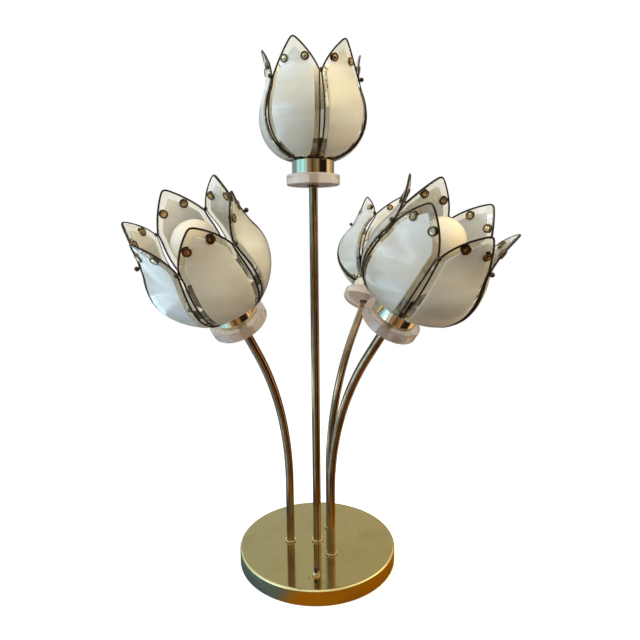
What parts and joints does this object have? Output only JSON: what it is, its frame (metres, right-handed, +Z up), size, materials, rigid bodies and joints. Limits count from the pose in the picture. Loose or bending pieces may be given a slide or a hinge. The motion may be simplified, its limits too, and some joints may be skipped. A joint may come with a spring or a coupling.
{
  "type": "table lamp",
  "caption": "Table lamp with lotus flower shades of bent opal glass petals on curved brass stems and a round weighted base.",
  "frame": {"origin": "centre of the base, on the surface it stands on", "axes": "+Z up along the straight middle stem, -Y towards the side with the push switch, +X to the right seen from that side"},
  "size_m": [0.3976, 0.4519, 0.6696],
  "materials": {
    "brass": "polished",
    "dark_wire": "antiqued, satin",
    "bronze": "antiqued, satin",
    "opal_glass": "opal with a clear bevelled border",
    "acrylic": "clear, polished",
    "bulb_glass": "opal, warm white",
    "socket_card": "matte",
    "zinc": "zinc plated",
    "phenolic": "moulded, satin",
    "button": "gloss",
    "iron": "as cast",
    "felt": "felt",
    "lead": "insulated wire"
  },
  "bodies": {
    "lamp": {"base_cover": "brass", "base_weight": "iron", "base_pad": "felt", "stem_seat_rings": "brass", "stem_lock_nuts": "zinc", "weight_nut": "zinc", "cord_gland": "phenolic", "switch_body": "phenolic", "switch_ring_nut": "brass", "stem_middle": "brass", "stem_left": "brass", "stem_right": "brass", "stem_back": "brass", "stem_ferrules": "brass", "socket_nipples": "zinc", "socket_nuts": "zinc", "lamp_leads": "lead", "wire_nuts": "phenolic", "acrylic_disc_middle": "acrylic", "acrylic_disc_left": "acrylic", "acrylic_disc_right": "acrylic", "acrylic_disc_back": "acrylic", "cup_middle": "brass", "cup_left": "brass", "cup_right": "brass", "cup_back": "brass", "petal_straps_middle": "brass", "petal_straps_left": "brass", "petal_straps_right": "brass", "petal_straps_back": "brass", "petals_middle": "opal_glass", "petals_left": "opal_glass", "petals_right": "opal_glass", "petals_back": "opal_glass", "wire_frames_middle": "dark_wire", "wire_frames_left": "dark_wire", "wire_frames_right": "dark_wire", "wire_frames_back": "dark_wire", "petal_clips": "bronze", "join_balls": "bronze", "socket_middle": "socket_card", "socket_left": "socket_card", "socket_right": "socket_card", "socket_back": "socket_card"},
    "switch_button": {"switch_button": "button"},
    "bulb_middle": {"bulb_cap_middle": "zinc", "bulb_globe_middle": "bulb_glass"},
    "bulb_left": {"bulb_cap_left": "zinc", "bulb_globe_left": "bulb_glass"},
    "bulb_right": {"bulb_cap_right": "zinc", "bulb_globe_right": "bulb_glass"},
    "bulb_back": {"bulb_cap_back": "zinc", "bulb_globe_back": "bulb_glass"}
  },
  "joints": [
    {"name": "switch_press", "type": "slide", "parent": "lamp", "child": "switch_button", "axis": [0, 0, -1], "range_m": [0, 0.003], "stiffness_N_per_m": 400, "springref_m": -0.001},
    {"name": "bulb_turn_middle", "type": "hinge", "parent": "lamp", "child": "bulb_middle", "pos_m": [0, 0, 0.5798], "axis": [0, 0, 1], "range_deg": [0, 360]},
    {"name": "bulb_turn_left", "type": "hinge", "parent": "lamp", "child": "bulb_left", "pos_m": [-0.10889, -0.11293, 0.40344], "axis": [-0.3111, -0.492, 0.8131], "range_deg": [0, 360]},
    {"name": "bulb_turn_right", "type": "hinge", "parent": "lamp", "child": "bulb_right", "pos_m": [0.11156, -0.12859, 0.40344], "axis": [0.4044, -0.4187, 0.8131], "range_deg": [0, 360]},
    {"name": "bulb_turn_back", "type": "hinge", "parent": "lamp", "child": "bulb_back", "pos_m": [0.10101, 0.13776, 0.40344], "axis": [0.3584, 0.4587, 0.8131], "range_deg": [0, 360]}
  ]
}
